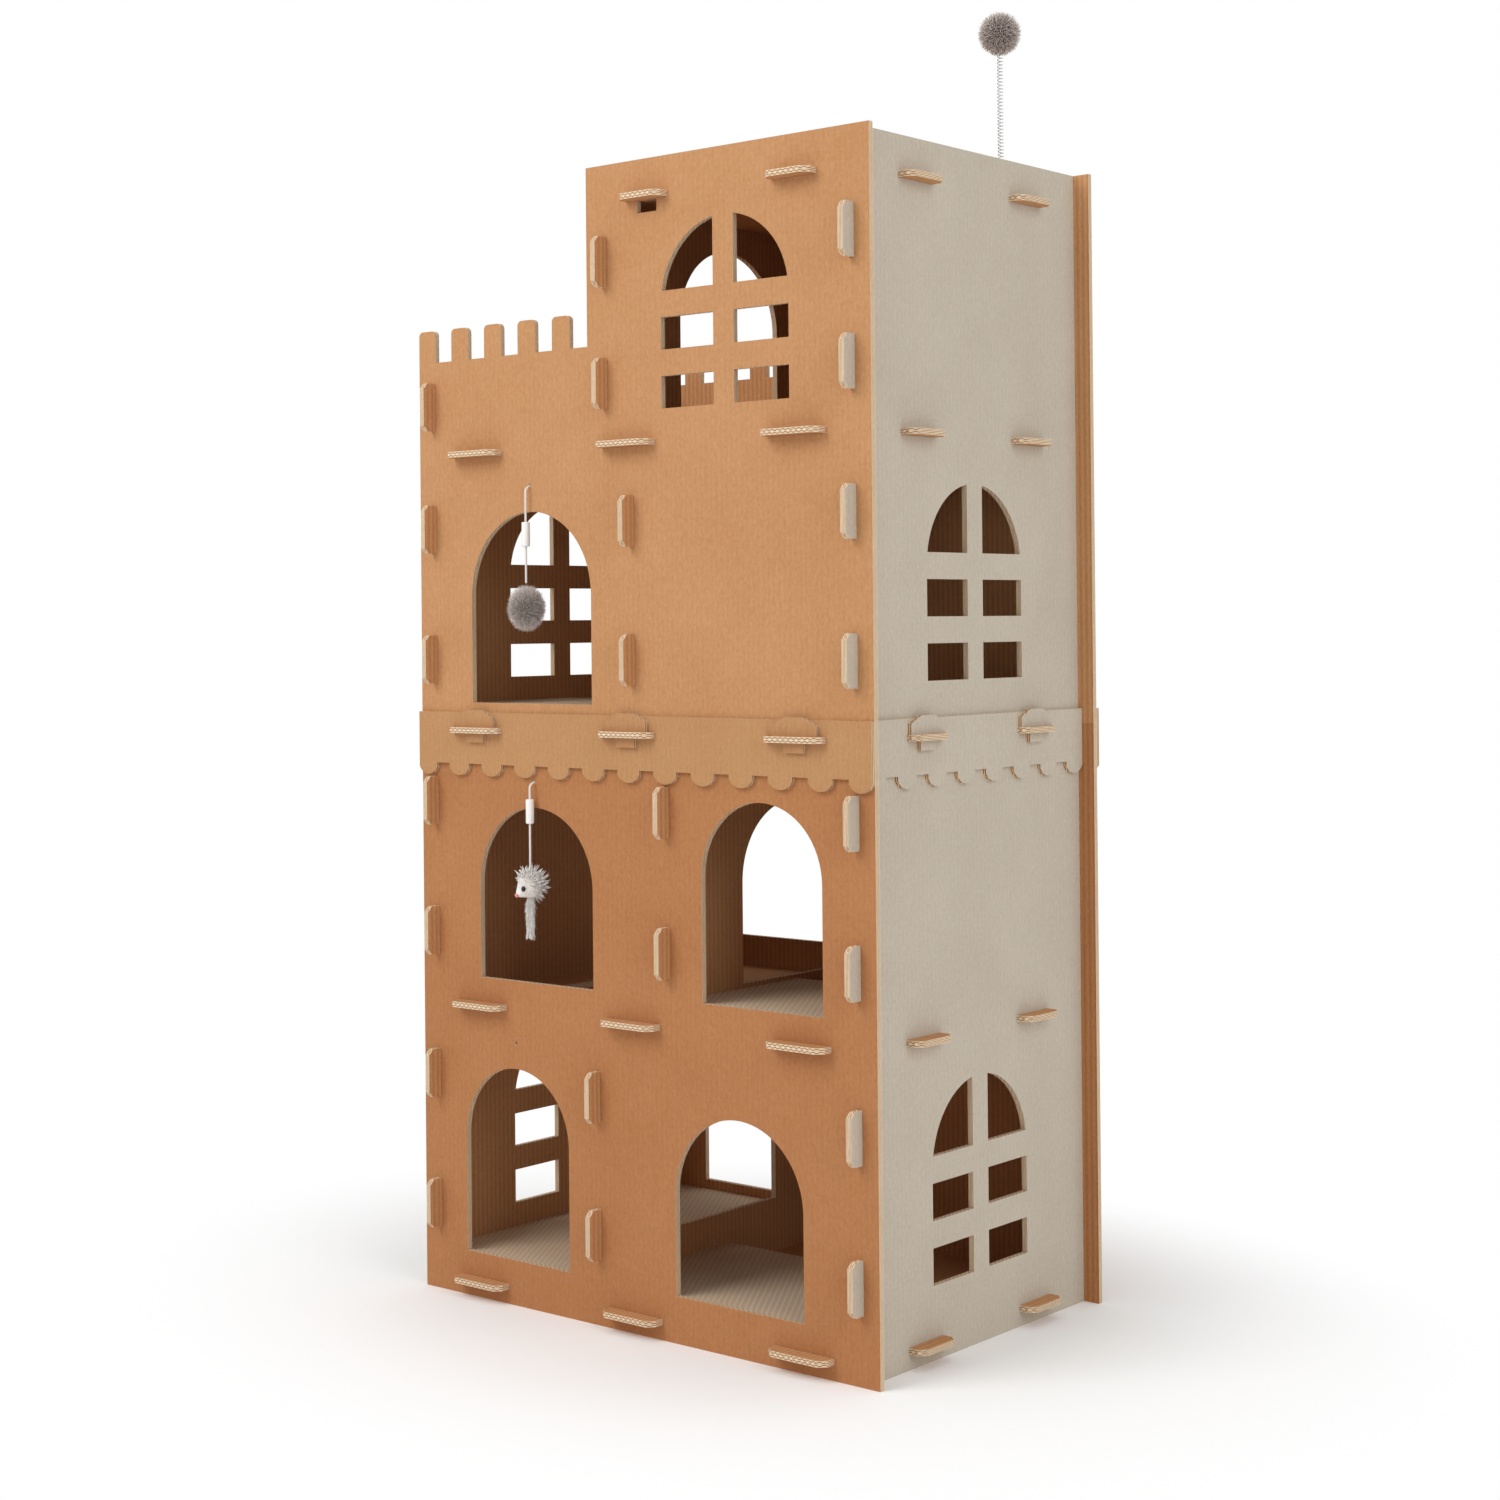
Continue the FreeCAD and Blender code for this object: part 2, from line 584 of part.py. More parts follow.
def trim():
    face = "depth / 2"
    side_face = "(width / 2 - side_overhang)"
    side_half = "(depth / 2 - board - fit)"
    for name, side in (("front", -1), ("back", 1)):
        middle = f"{side} * ({face} + trim_board / 2)"
        band(f"{name}_band", "XZ_Plane", middle, "(width / 2)", SHELF_TABS, "shelf_tab_length")
        for number, tab in enumerate(SHELF_TABS, start=1):
            middle = f"{side} * ({face} + 1.5 * trim_board)"
            key(f"{name}_key_{number}", "XZ_Plane", middle, tab)
    for name, side in (("left", -1), ("right", 1)):
        middle = f"{side} * ({side_face} + trim_board / 2)"
        band(f"{name}_band", "YZ_Plane", middle, side_half, SIDE_TABS, "side_tab_length")
        for number, tab in enumerate(SIDE_TABS, start=1):
            middle = f"{side} * ({side_face} + 1.5 * trim_board)"
            key(f"{name}_key_{number}", "YZ_Plane", middle, tab)


# Scratching pads.

def pad(name, level, left, right, deep):
    corners = [
        (f"{left} + pad_play", f"-1 * {INNER} + pad_play"),
        (f"{right} - pad_play", f"-1 * {INNER} + pad_play"),
        (f"{right} - pad_play", f"-1 * {INNER} + pad_play + {deep}"),
        (f"{left} + pad_play", f"-1 * {INNER} + pad_play + {deep}"),
    ]
    sheet(name, "XY_Plane", f"{level} + pad_thickness / 2", (corners, {}), {}, "pad_thickness")


def pads():
    left = minus(SIDE_INNER)
    full_depth = f"(2 * {INNER} - 2 * pad_play)"
    pad("pad_level_1_left", "floor_level", left, "(divider_one - board / 2)", full_depth)
    pad("pad_level_1_right", "floor_level", "(divider_one + board / 2)", SIDE_INNER, "pad_depth")
    pad("pad_level_2_right", "level_two", "(divider_two + board / 2)", SIDE_INNER, "pad_depth")
    pad("pad_level_3_left", "level_three", left, "(divider_three - board / 2)", "pad_depth")


# Toys on strings.

def place(thing, x, y, z):
    thing.setExpression("Placement.Base.x", on_sheet(x))
    thing.setExpression("Placement.Base.y", on_sheet(y))
    thing.setExpression("Placement.Base.z", on_sheet(z))


def upright(name, radii, length, x, y, z):
    """A round piece, or a tube where it has an inner radius too."""
    body = new_body(name)
    loops = []
    for radius in radii:
        corners = [(f"({radius}) * {across:.6f}", f"({radius}) * {up:.6f}") for across, up in TOY_ROUND]
        loops.append((corners, {}))
    post = body.newObject("PartDesign::Pad", "Post")
    post.Profile = draw(body, "XY_Plane", "Section", loops)
    post.setExpression("Length", on_sheet(length))
    place(body, x, y, z)
    parts.append(body)


def knot(name, across, height):
    lump = doc.addObject("Part::Prism", name)
    lump.Label = name
    lump.Polygon = STRING_SIDES
    lump.setExpression("Circumradius", "dims.knot_radius")
    lump.setExpression("Height", "dims.knot_length")
    lump.Placement.Rotation = FreeCAD.Rotation(FreeCAD.Vector(1, 0, 0), -90)
    place(lump, across, minus(INNER), height)
    parts.append(lump)


def string(name, across, height, hang, drop):
    """A string from the panel's inner face out through its hole and straight down."""
    x = measure(across)
    radius = measure("string_radius")
    start = FreeCAD.Vector(x, measure(minus(INNER)), measure(height))
    turn = FreeCAD.Vector(x, measure(f"-1 * (depth / 2 + {hang})"), start.z)
    end = FreeCAD.Vector(x, turn.y, start.z - measure(drop))
    bend = 0.45 * min((turn - start).Length, (end - turn).Length)
    before = turn + FreeCAD.Vector(0, bend, 0)
    after = turn - FreeCAD.Vector(0, 0, bend)
    middle = turn + FreeCAD.Vector(0, bend, -bend) * (1 - math.sqrt(0.5))
    path = Part.Wire([
        Part.LineSegment(start, before).toShape(),
        Part.Arc(before, middle, after).toShape(),
        Part.LineSegment(after, end).toShape(),
    ])
    turns = [2 * math.pi * (i + 0.5) / STRING_SIDES for i in range(STRING_SIDES)]
    rim = [start + FreeCAD.Vector(math.cos(t), 0, math.sin(t)) * radius for t in turns]
    section = Part.makePolygon(rim + rim[:1])
    tube = doc.addObject("Part::Feature", name)
    tube.Label = name
    tube.Shape = path.makePipeShell([section], True, True)
    tube.Placement = FreeCAD.Placement()
    expected = Part.Face(section).Area * path.Length
    print(f"{name}: bend radius {bend:.2f}, volume {tube.Shape.Volume:.2f} against {expected:.2f}")
    parts.append(tube)


def bead(name, across, hang, height, drop):
    """A short tube on the string."""
    low = f"{height} - {drop} - bead_length"
    radii = ["bead_radius", "string_radius + bead_play"]
    upright(name, radii, "bead_length", across, f"-1 * (depth / 2 + {hang})", low)


def faceted(name, rings, x, y, z):
    """A closed solid through rings of equal corners, given as height and radius."""
    corners = []
    for height, radius in rings:
        corners.append([FreeCAD.Vector(radius * across, radius * up, height) for across, up in TOY_ROUND])
    faces = [Part.Face(Part.makePolygon(ring + ring[:1])) for ring in (corners[0], corners[-1])]
    for low, high in zip(corners, corners[1:]):
        for i in range(TOY_SIDES):
            j = (i + 1) % TOY_SIDES
            faces.append(Part.Face(Part.makePolygon([low[i], low[j], high[j], high[i], low[i]])))
    solid = doc.addObject("Part::Feature", name)
    solid.Label = name
    solid.Shape = Part.Solid(Part.Shell(faces))
    solid.Placement = FreeCAD.Placement()
    place(solid, x, y, z)
    parts.append(solid)


def ball_rings(radius, half_height):
    """Rings of a ball from its lower flat at height 0 to its upper flat."""
    rings = []
    for i in range(SOFT_BELTS + 1):
        angle = math.radians(POLE_ANGLE * (2 * i / SOFT_BELTS - 1))
        height = half_height * (1 + math.sin(angle) / math.sin(math.radians(POLE_ANGLE)))
        rings.append((height, radius * math.cos(angle)))
    return rings


def ball_toy():
    string("ball_string", "third_door", BALL_HOLE, "ball_hang", "ball_drop")
    knot("ball_knot", "third_door", BALL_HOLE)
    bead("ball_bead", "third_door", "ball_hang", BALL_HOLE, "ball_bead_drop")
    rings = ball_rings(measure("ball_radius"), measure("ball_half_height"))
    low = f"{BALL_HOLE} - ball_drop - 2 * ball_half_height"
    faceted("ball_pompom", rings, "third_door", "-1 * (depth / 2 + ball_hang)", low)


def mouse_toy():
    string("mouse_string", "second_left_door", MOUSE_HOLE, "mouse_hang", "mouse_drop")
    knot("mouse_knot", "second_left_door", MOUSE_HOLE)
    bead("mouse_bead", "second_left_door", "mouse_hang", MOUSE_HOLE, "mouse_bead_drop")
    tail = measure("mouse_tail")
    tail_radius = measure("tail_radius")
    body = ball_rings(measure("mouse_radius"), measure("mouse_length") / 2)
    rings = [(0, tail_radius / 2), (tail_radius, tail_radius), (tail, tail_radius)]
    rings += [(tail + height, radius) for height, radius in body[1:]]
    low = f"{MOUSE_HOLE} - mouse_drop - mouse_length - mouse_tail"
    faceted("mouse_body", rings, "second_left_door", "-1 * (depth / 2 + mouse_hang)", low)


# Ball on a spring, on the tower roof.

def spring_toy():
    spot = ("spring_across", "spring_back")
    upright("spring_foot", ["foot_radius"], "foot_height", *spot, "roof_level")
    upright("spring", ["spring_radius", "spring_bore"], "spring_length", *spot,
            "roof_level + foot_height")
    radius = measure("top_ball_radius")
    low = "roof_level + foot_height + spring_length"
    faceted("spring_pompom", ball_rings(radius, radius), *spot, low)


front_panels()
back_panels()
side_walls()
dividers()
shelves()
trim()
pads()
ball_toy()
mouse_toy()
spring_toy()
doc.recompute()

for thing in doc.Objects:
    if "Invalid" in thing.State or "Error" in thing.State:
        raise RuntimeError(f"{thing.Label} failed: {thing.State}")
for part in parts:
    if part.Shape.isNull() or not part.Shape.isValid() or len(part.Shape.Solids) != 1:
        raise RuntimeError(f"{part.Label} is not one valid solid")

os.makedirs("parts", exist_ok=True)
for part in parts:
    part.Shape.exportStep(f"parts/{part.Label}.step")
print(f"{len(parts)} pieces written")
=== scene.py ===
import bpy
import bmesh
import math
import random
from mathutils import Matrix, Vector


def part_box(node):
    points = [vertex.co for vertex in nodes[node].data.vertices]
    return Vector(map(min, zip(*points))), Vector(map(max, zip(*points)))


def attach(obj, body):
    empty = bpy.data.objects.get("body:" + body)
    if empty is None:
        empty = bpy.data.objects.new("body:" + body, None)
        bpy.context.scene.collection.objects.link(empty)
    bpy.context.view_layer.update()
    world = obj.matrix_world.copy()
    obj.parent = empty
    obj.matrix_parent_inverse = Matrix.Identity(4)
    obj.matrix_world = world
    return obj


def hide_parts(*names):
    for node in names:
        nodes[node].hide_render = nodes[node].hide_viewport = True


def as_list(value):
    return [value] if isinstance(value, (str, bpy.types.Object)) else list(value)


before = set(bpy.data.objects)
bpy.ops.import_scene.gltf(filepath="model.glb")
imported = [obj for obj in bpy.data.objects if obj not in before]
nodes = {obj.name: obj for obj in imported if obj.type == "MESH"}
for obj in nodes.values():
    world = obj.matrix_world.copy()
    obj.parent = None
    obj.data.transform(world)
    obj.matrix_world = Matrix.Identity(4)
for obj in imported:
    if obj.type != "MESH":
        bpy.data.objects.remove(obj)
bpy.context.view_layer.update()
mm = 0.001
print("frame loaded:", len(nodes), "nodes")


# The camera of the photograph.
cameraView = {
    "place": (1.87485, -2.25705, 0.7883),
    "turn": (90.28076, 0.52711, 39.95493),   # degrees about X, Y and Z
    "lens": 59.96,
    "shift": (0.00533, -0.0939),
}


def link(thing):
    bpy.context.scene.collection.objects.link(thing)
    return thing


def makeCamera():
    lens = bpy.data.cameras.new("photoCamera")
    lens.lens = cameraView["lens"]
    lens.sensor_width = 36
    lens.shift_x, lens.shift_y = cameraView["shift"]
    camera = link(bpy.data.objects.new("photoCamera", lens))
    camera.location = cameraView["place"]
    camera.rotation_euler = [math.radians(angle) for angle in cameraView["turn"]]
    bpy.context.scene.camera = camera
    bpy.context.scene.view_settings.view_transform = "Standard"


makeCamera()


# The two toy strings, on the same route points as their solids.
strings = {
    "thickness": 2.6 * mm,
    "ballRoute": [(-0.155, -0.20625, 0.9465), (-0.155, -0.21895, 0.9465),
                  (-0.155, -0.21895, 0.9309), (-0.155, -0.21895, 0.8345)],
    "ballLength": 0.122,
    "mouseRoute": [(-0.1505, -0.20625, 0.6065), (-0.1505, -0.22075, 0.6065),
                   (-0.1505, -0.22075, 0.5909), (-0.1505, -0.22075, 0.5085)],
    "mouseLength": 0.1095,
}


def makeString(name, route):
    curve = bpy.data.curves.new(name, "CURVE")
    curve.dimensions = "3D"
    spline = curve.splines.new("NURBS")
    spline.points.add(len(route) - 1)
    for point, place in zip(spline.points, route):
        point.co = (*place, 1)
    spline.order_u = 3
    spline.use_endpoint_u = True
    spline.resolution_u = 12
    curve.bevel_depth = strings["thickness"] / 2
    curve.bevel_resolution = 3
    curve.use_fill_caps = True
    return link(bpy.data.objects.new(name, curve))


ballString = makeString("ballString", strings["ballRoute"])
mouseString = makeString("mouseString", strings["mouseRoute"])
print("camera and strings made")


# Materials.
# sRGB hex to linear.
def colour(code):
    parts = [int(code[i:i + 2], 16) / 255 for i in (1, 3, 5)]
    return [part / 12.92 if part < 0.04045 else ((part + 0.055) / 1.055) ** 2.4 for part in parts] + [1.0]


# A node with its settings, its inputs set or linked in order or by name, and the output asked for.
def add(tree, kind, *values, out=0, named=None, **settings):
    new = tree.nodes.new(f"ShaderNode{kind}")
    for setting, value in settings.items():
        setattr(new, setting, value)
    pairs = list(zip([socket for socket in new.inputs if socket.enabled], values))
    pairs += [(new.inputs[socket], value) for socket, value in (named or {}).items()]
    for socket, value in pairs:
        if isinstance(value, bpy.types.NodeSocket):
            tree.links.new(value, socket)
        elif value is not None:
            socket.default_value = value
    outputs = [socket for socket in new.outputs if socket.enabled]
    return outputs if out is None else outputs[out]


def newMaterial(name, **shader):
    material = bpy.data.materials.new(name)
    material.use_nodes = True
    principled = material.node_tree.nodes["Principled BSDF"]
    for socket, value in shader.items():
        principled.inputs[socket.replace("_", " ")].default_value = value
    return material, material.node_tree, principled.inputs


# Double-wall corrugated board with kraft liners: dull and fibrous, with the flutes just showing
# through. A die-cut edge shows the liners with waves of fluting between them.
board = {
    "kraft": {     # pale and deep, by panel: the lower panels darker as painted shade, the light falling off towards the floor
        "upper": ("#cf9f72", "#ac7548"), "lower": ("#c0895d", "#9f653a"), "band": ("#c79b70", "#a87548"),
    },
    "greyPale": "#d2c8b8", "greyDeep": "#ada190",
    # Cut-edge colours: the hollow is darker as painted shade inside the flutes; the paper is its own pale cream,
    # brightened as a painted highlight.
    "edgePaperAndHighlight": "#fdecd0", "edgeHollowShade": "#a37a50",
    "flute": 7.2,                                 # mm from wave to wave
    "blotch": 90, "grain": 3.4, "fibre": 1.2,     # mm, the fibre drawn coarser than it is
    "blotchStrength": 0.35, "grainStrength": 0.5, "fibreStrength": 0.5,
    "fluteOutside": 0.03, "fluteInside": 0.2,
    "roughness": 0.86,
}


# thick and flute are the axes of the thickness and of the flutes. outside is the side along the
# thickness, 1 or -1, that faces out of the castle. It is pressed smooth, and may be grey.
def boardMaterial(name, thick, flute, low, high, plies=2, outside=0, grey=False, kraft="upper"):
    across = 3 - thick - flute
    material, tree, shader = newMaterial(name, Roughness=board["roughness"], Specular_IOR_Level=0.2)
    place = add(tree, "TexCoord", out=3)
    spot = add(tree, "SeparateXYZ", place, out=None)
    facing = add(tree, "SeparateXYZ", add(tree, "NewGeometry", out=1), out=None)
    isFace = add(tree, "Math", facing[thick], operation="ABSOLUTE")
    isFace = add(tree, "Math", isFace, 0.5, operation="GREATER_THAN")
    turn = add(tree, "Math", spot[across], 2 * math.pi / (board["flute"] * mm), operation="MULTIPLY")
    wave = add(tree, "Math", turn, operation="SINE")

    # Liner colour: patches, grain and fibres, and the flutes below.
    stretch = [1.0, 1.0, 1.0]
    stretch[flute] = 0.15
    along = add(tree, "Mapping", named={"Vector": place, "Scale": stretch})
    blotch = add(tree, "TexNoise", named={"Vector": place, "Scale": 1 / (board["blotch"] * mm), "Detail": 4.0})
    grain = add(tree, "TexNoise", named={"Vector": place, "Scale": 1 / (board["grain"] * mm), "Detail": 2.0})
    fibre = add(tree, "TexNoise", named={"Vector": along, "Scale": 1 / (board["fibre"] * mm), "Detail": 2.0})
    strengths = [board["blotchStrength"], board["grainStrength"], board["fibreStrength"]]
    outward = add(tree, "Math", facing[thick], outside, operation="MULTIPLY")
    outward = add(tree, "Math", outward, 0.5, operation="GREATER_THAN")
    stripe = add(tree, "MapRange", outward, 0.0, 1.0, board["fluteInside"], board["fluteOutside"])
    stripe = add(tree, "Math", wave, stripe, operation="MULTIPLY")
    shade = add(tree, "Math", stripe, 0.5 - sum(strengths) / 2, operation="ADD")
    for texture, strength in zip((blotch, grain, fibre), strengths):
        shade = add(tree, "Math", texture, strength, shade, operation="MULTIPLY_ADD", use_clamp=texture == fibre)
    pale, deep = board["kraft"][kraft]
    inner = liner = add(tree, "Mix", shade, colour(deep), colour(pale), data_type="RGBA")
    if grey:
        greyPaper = [colour(board["greyDeep"]), colour(board["greyPale"])]
        greyPaper = add(tree, "Mix", shade, *greyPaper, data_type="RGBA")
        liner = add(tree, "Mix", outward, inner, greyPaper, data_type="RGBA")

    # Cut edge: u runs from 0 at the middle liner to 0.5 at the outer ones.
    middle, thickness = (low[thick] + high[thick]) / 2, high[thick] - low[thick]
    u = add(tree, "Math", spot[thick], middle, operation="SUBTRACT")
    u = add(tree, "Math", u, 1 / thickness, operation="MULTIPLY")
    height = add(tree, "Math", u, operation="ABSOLUTE")
    if plies == 2:
        layer = add(tree, "Math", height, 0.25, operation="SUBTRACT")
        middleLiner = add(tree, "Math", height, 0.06, operation="LESS_THAN")
        swing, strand = 0.14, 0.06
    else:
        layer, middleLiner = u, 0.0
        swing, strand = 0.30, 0.09
    waviness = add(tree, "Math", add(tree, "Math", facing[flute], operation="ABSOLUTE"), swing, operation="MULTIPLY")
    ripple = add(tree, "Math", wave, waviness, operation="MULTIPLY")
    gap = add(tree, "Math", add(tree, "Math", layer, ripple, operation="SUBTRACT"), operation="ABSOLUTE")
    paper = add(tree, "Math", gap, strand, operation="LESS_THAN")
    outerLiner = add(tree, "Math", height, 0.42, operation="GREATER_THAN")
    for line in (outerLiner, middleLiner):
        paper = add(tree, "Math", paper, line, operation="MAXIMUM")
    worn = add(tree, "Math", fibre, 0.5, 0.6, operation="MULTIPLY_ADD")
    paperShade = add(tree, "Math", paper, worn, operation="MULTIPLY")
    # From hollow to paper on the cut edge: painted shade in the flute cavities, with the paper brightened as a
    # painted highlight.
    edge = add(tree, "Mix", paperShade, colour(board["edgeHollowShade"]), colour(board["edgePaperAndHighlight"]), data_type="RGBA")

    tone = add(tree, "Mix", isFace, edge, liner, data_type="RGBA")
    tree.links.new(tone, shader["Base Color"])
    relief = add(tree, "Math", stripe, 2.0, fibre, operation="MULTIPLY_ADD")
    relief = add(tree, "Mix", isFace, paper, relief, data_type="FLOAT")
    bump = add(tree, "Bump", named={"Height": relief, "Strength": 0.5, "Distance": 0.25 * mm})
    tree.links.new(bump, shader["Normal"])
    return material


def dress(name, material):
    for slot in nodes[name].material_slots:
        slot.material = material


axisX, axisY, axisZ = 0, 1, 2
panels = {"front_lower_panel": -1, "front_upper_panel": -1, "back_lower_panel": 1, "back_upper_panel": 1}
outerWalls = {"left_lower_wall": -1, "left_upper_wall": -1, "right_lower_wall": 1, "right_upper_wall": 1}
dividers = ["divider_level_1", "divider_level_2", "divider_level_3", "tower_left_wall"]
shelves = ["floor_board", "shelf_level_2", "shelf_level_3", "shelf_level_4", "tower_roof"]
# Each panel takes the tone of its row; the darker lower tone is painted shade.
for name, side in panels.items():
    dress(name, boardMaterial(f"kraftBoard_{name}", axisY, axisZ, *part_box(name), outside=side,
                              kraft=name.split("_")[1]))
for name, side in outerWalls.items():
    dress(name, boardMaterial(f"greyLinedBoard_{name}", axisX, axisZ, *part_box(name), outside=side,
                              grey=True))
for name in dividers:
    dress(name, boardMaterial(f"kraftBoard_{name}", axisX, axisZ, *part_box(name)))
for name in shelves:
    dress(name, boardMaterial(f"kraftBoard_{name}", axisZ, axisY, *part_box(name)))
outwards = {"front": (axisY, -1), "back": (axisY, 1), "left": (axisX, -1), "right": (axisX, 1)}
for name in nodes:
    if "_band" in name or "_key_" in name:
        axis, side = outwards[name.split("_")[0]]
        dress(name, boardMaterial(f"singleWallBoard_{name}", axis, axisZ, *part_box(name), plies=1,
                                  outside=side, grey=axis == axisX, kraft="band"))


# Scratching pads: strips of single-wall board glued side by side and cut across, so that the top
# is rows of waves between liners, worn a little paler where it is scratched.
pad = {
    # The hollow colour is painted shade inside the open flutes; paper and worn are the board's own.
    "paper": "#efdcc2", "worn": "#ece2d4", "hollowShade": "#c4a27c",
    "row": 4.6, "wave": 7.6,      # mm
    "wornPatch": 120,             # mm
}


def padMaterial(name):
    material, tree, shader = newMaterial(name, Roughness=0.9, Specular_IOR_Level=0.15)
    place = add(tree, "TexCoord", out=3)
    spot = add(tree, "SeparateXYZ", place, out=None)
    rows = add(tree, "Math", spot[axisY], 1 / (pad["row"] * mm), operation="MULTIPLY")
    number = add(tree, "Math", rows, operation="FLOOR")
    within = add(tree, "Math", add(tree, "Math", rows, number, operation="SUBTRACT"), 0.5, operation="SUBTRACT")
    turn = add(tree, "Math", spot[axisX], 2 * math.pi / (pad["wave"] * mm), operation="MULTIPLY")
    turn = add(tree, "Math", number, 2.4, turn, operation="MULTIPLY_ADD")
    ripple = add(tree, "Math", add(tree, "Math", turn, operation="SINE"), 0.3, operation="MULTIPLY")
    gap = add(tree, "Math", add(tree, "Math", within, ripple, operation="SUBTRACT"), operation="ABSOLUTE")
    waves = add(tree, "Math", gap, 0.13, operation="LESS_THAN")
    liners = add(tree, "Math", add(tree, "Math", within, operation="ABSOLUTE"), 0.4, operation="GREATER_THAN")
    paper = add(tree, "Math", waves, liners, operation="MAXIMUM")
    patch = add(tree, "TexNoise", named={"Vector": place, "Scale": 1 / (pad["wornPatch"] * mm), "Detail": 3.0})
    fleck = add(tree, "TexNoise", named={"Vector": place, "Scale": 500.0, "Detail": 2.0})
    patch = add(tree, "Math", patch, 3.0, -1.0, operation="MULTIPLY_ADD", use_clamp=True)
    paperColour = add(tree, "Mix", patch, colour(pad["paper"]), colour(pad["worn"]), data_type="RGBA")
    fleck = add(tree, "Math", fleck, 0.6, 0.55, operation="MULTIPLY_ADD")
    shown = add(tree, "Math", paper, fleck, operation="MULTIPLY")
    # Between the waves and liners the top is darker: painted shade in the flute hollows.
    top = add(tree, "Mix", shown, colour(pad["hollowShade"]), paperColour, data_type="RGBA")
    tree.links.new(top, shader["Base Color"])
    bump = add(tree, "Bump", named={"Height": paper, "Strength": 0.8, "Distance": 0.8 * mm})
    tree.links.new(bump, shader["Normal"])
    return material


padBoard = padMaterial("edgeOnCorrugatedBoard")
for name in ("pad_level_1_left", "pad_level_1_right", "pad_level_2_right", "pad_level_3_left"):
    dress(name, padBoard)
print("board materials set")


# Twisted cotton cord: soft, off-white, with slanting plies, darker between the plies as painted shade in the grooves
# of the twist.
cord = {"pale": "#f6f3ee", "deep": "#cfc8be", "ply": 1.8 * mm}


def cottonMaterial():
    material, tree, shader = newMaterial("twistedCotton", Roughness=0.85, Specular_IOR_Level=0.2, Sheen_Weight=0.3)
    place = add(tree, "TexCoord", out=3)
    spot = add(tree, "SeparateXYZ", place, out=None)
    slant = add(tree, "Math", spot[axisX], spot[axisZ], operation="ADD")
    plies = add(tree, "Math", add(tree, "Math", slant, 2 * math.pi / cord["ply"], operation="MULTIPLY"), operation="SINE")
    shade = add(tree, "Math", plies, 0.5, 0.5, operation="MULTIPLY_ADD")
    # Darker in the grooves between the plies: painted shade.
    tone = add(tree, "Mix", shade, colour(cord["deep"]), colour(cord["pale"]), data_type="RGBA")
    tree.links.new(tone, shader["Base Color"])
    bump = add(tree, "Bump", named={"Height": shade, "Strength": 0.6, "Distance": 0.2 * mm})
    tree.links.new(bump, shader["Normal"])
    return material


# Moulded polythene: smooth and white with a soft gloss and faint flow marks.
def mouldedMaterial(name, pale, deep, roughness):
    material, tree, shader = newMaterial(name, Roughness=roughness, IOR=1.5)
    place = add(tree, "TexCoord", out=3)
    flow = add(tree, "TexNoise", named={"Vector": place, "Scale": 180.0, "Detail": 3.0})
    tone = add(tree, "Mix", flow, colour(deep), colour(pale), data_type="RGBA")
    tree.links.new(tone, shader["Base Color"])
    fine = add(tree, "TexNoise", named={"Vector": place, "Scale": 1500.0, "Detail": 2.0})
    bump = add(tree, "Bump", named={"Height": fine, "Strength": 0.15, "Distance": 0.05 * mm})
    tree.links.new(bump, shader["Normal"])
    return material


# Acrylic pile: darker at the roots and paler at the tips as painted shade deep in the pile, each tuft its own tone.
def pileMaterial(name, root, tip, centre, core, reach):
    material, tree, shader = newMaterial(name, Roughness=0.75, Specular_IOR_Level=0.25, Sheen_Weight=0.4)
    place = add(tree, "TexCoord", out=3)
    fromCentre = add(tree, "VectorMath", place, centre, operation="SUBTRACT")
    distance = add(tree, "VectorMath", fromCentre, operation="LENGTH")
    # Darker near the core and paler out to the tips: painted shade deep in the pile.
    outOfRootShade = add(tree, "MapRange", distance, core, reach, 0.0, 1.0)
    tuft = add(tree, "TexNoise", named={"Vector": place, "Scale": 420.0, "Detail": 3.0})
    shade = add(tree, "Math", tuft, 1.6, -0.8, operation="MULTIPLY_ADD")
    shade = add(tree, "Math", outOfRootShade, 0.75, shade, operation="MULTIPLY_ADD", use_clamp=True)
    tone = add(tree, "Mix", shade, colour(root), colour(tip), data_type="RGBA")
    tree.links.new(tone, shader["Base Color"])
    return material


# Drawn spring steel: bright, with fine lines round the wire.
def springMaterial():
    material, tree, shader = newMaterial("springSteel", Metallic=1.0, Roughness=0.28)
    place = add(tree, "TexCoord", out=3)
    scratch = add(tree, "TexNoise", named={"Vector": place, "Scale": 900.0, "Detail": 3.0})
    tone = add(tree, "Mix", scratch, colour("#a3a3a6"), colour("#dcdcde"), data_type="RGBA")
    tree.links.new(tone, shader["Base Color"])
    bump = add(tree, "Bump", named={"Height": scratch, "Strength": 0.2, "Distance": 0.05 * mm})
    tree.links.new(bump, shader["Normal"])
    return material


# The finished mesh as a piece on the castle, with the CAD nodes it stands for.
def finishPiece(name, bm, material, slot, *replaced):
    mesh = bpy.data.meshes.new(name)
    for face in bm.faces:
        face.smooth = True
    bm.to_mesh(mesh)
    bm.free()
    mesh.materials.append(material)
    piece = link(bpy.data.objects.new(name, mesh))
    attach(piece, "root")
    if replaced:
        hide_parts(*replaced)
    return piece


# One tapered strand.
def tuft(bm, root, direction, length, radius):
    place = Matrix.Translation(root) @ direction.to_track_quat("Z", "Y").to_matrix().to_4x4()
    place = place @ Matrix.Translation((0, 0, length / 2))
    bmesh.ops.create_cone(bm, cap_ends=True, segments=3, radius1=radius, radius2=radius * 0.25,
                          depth=length, matrix=place)


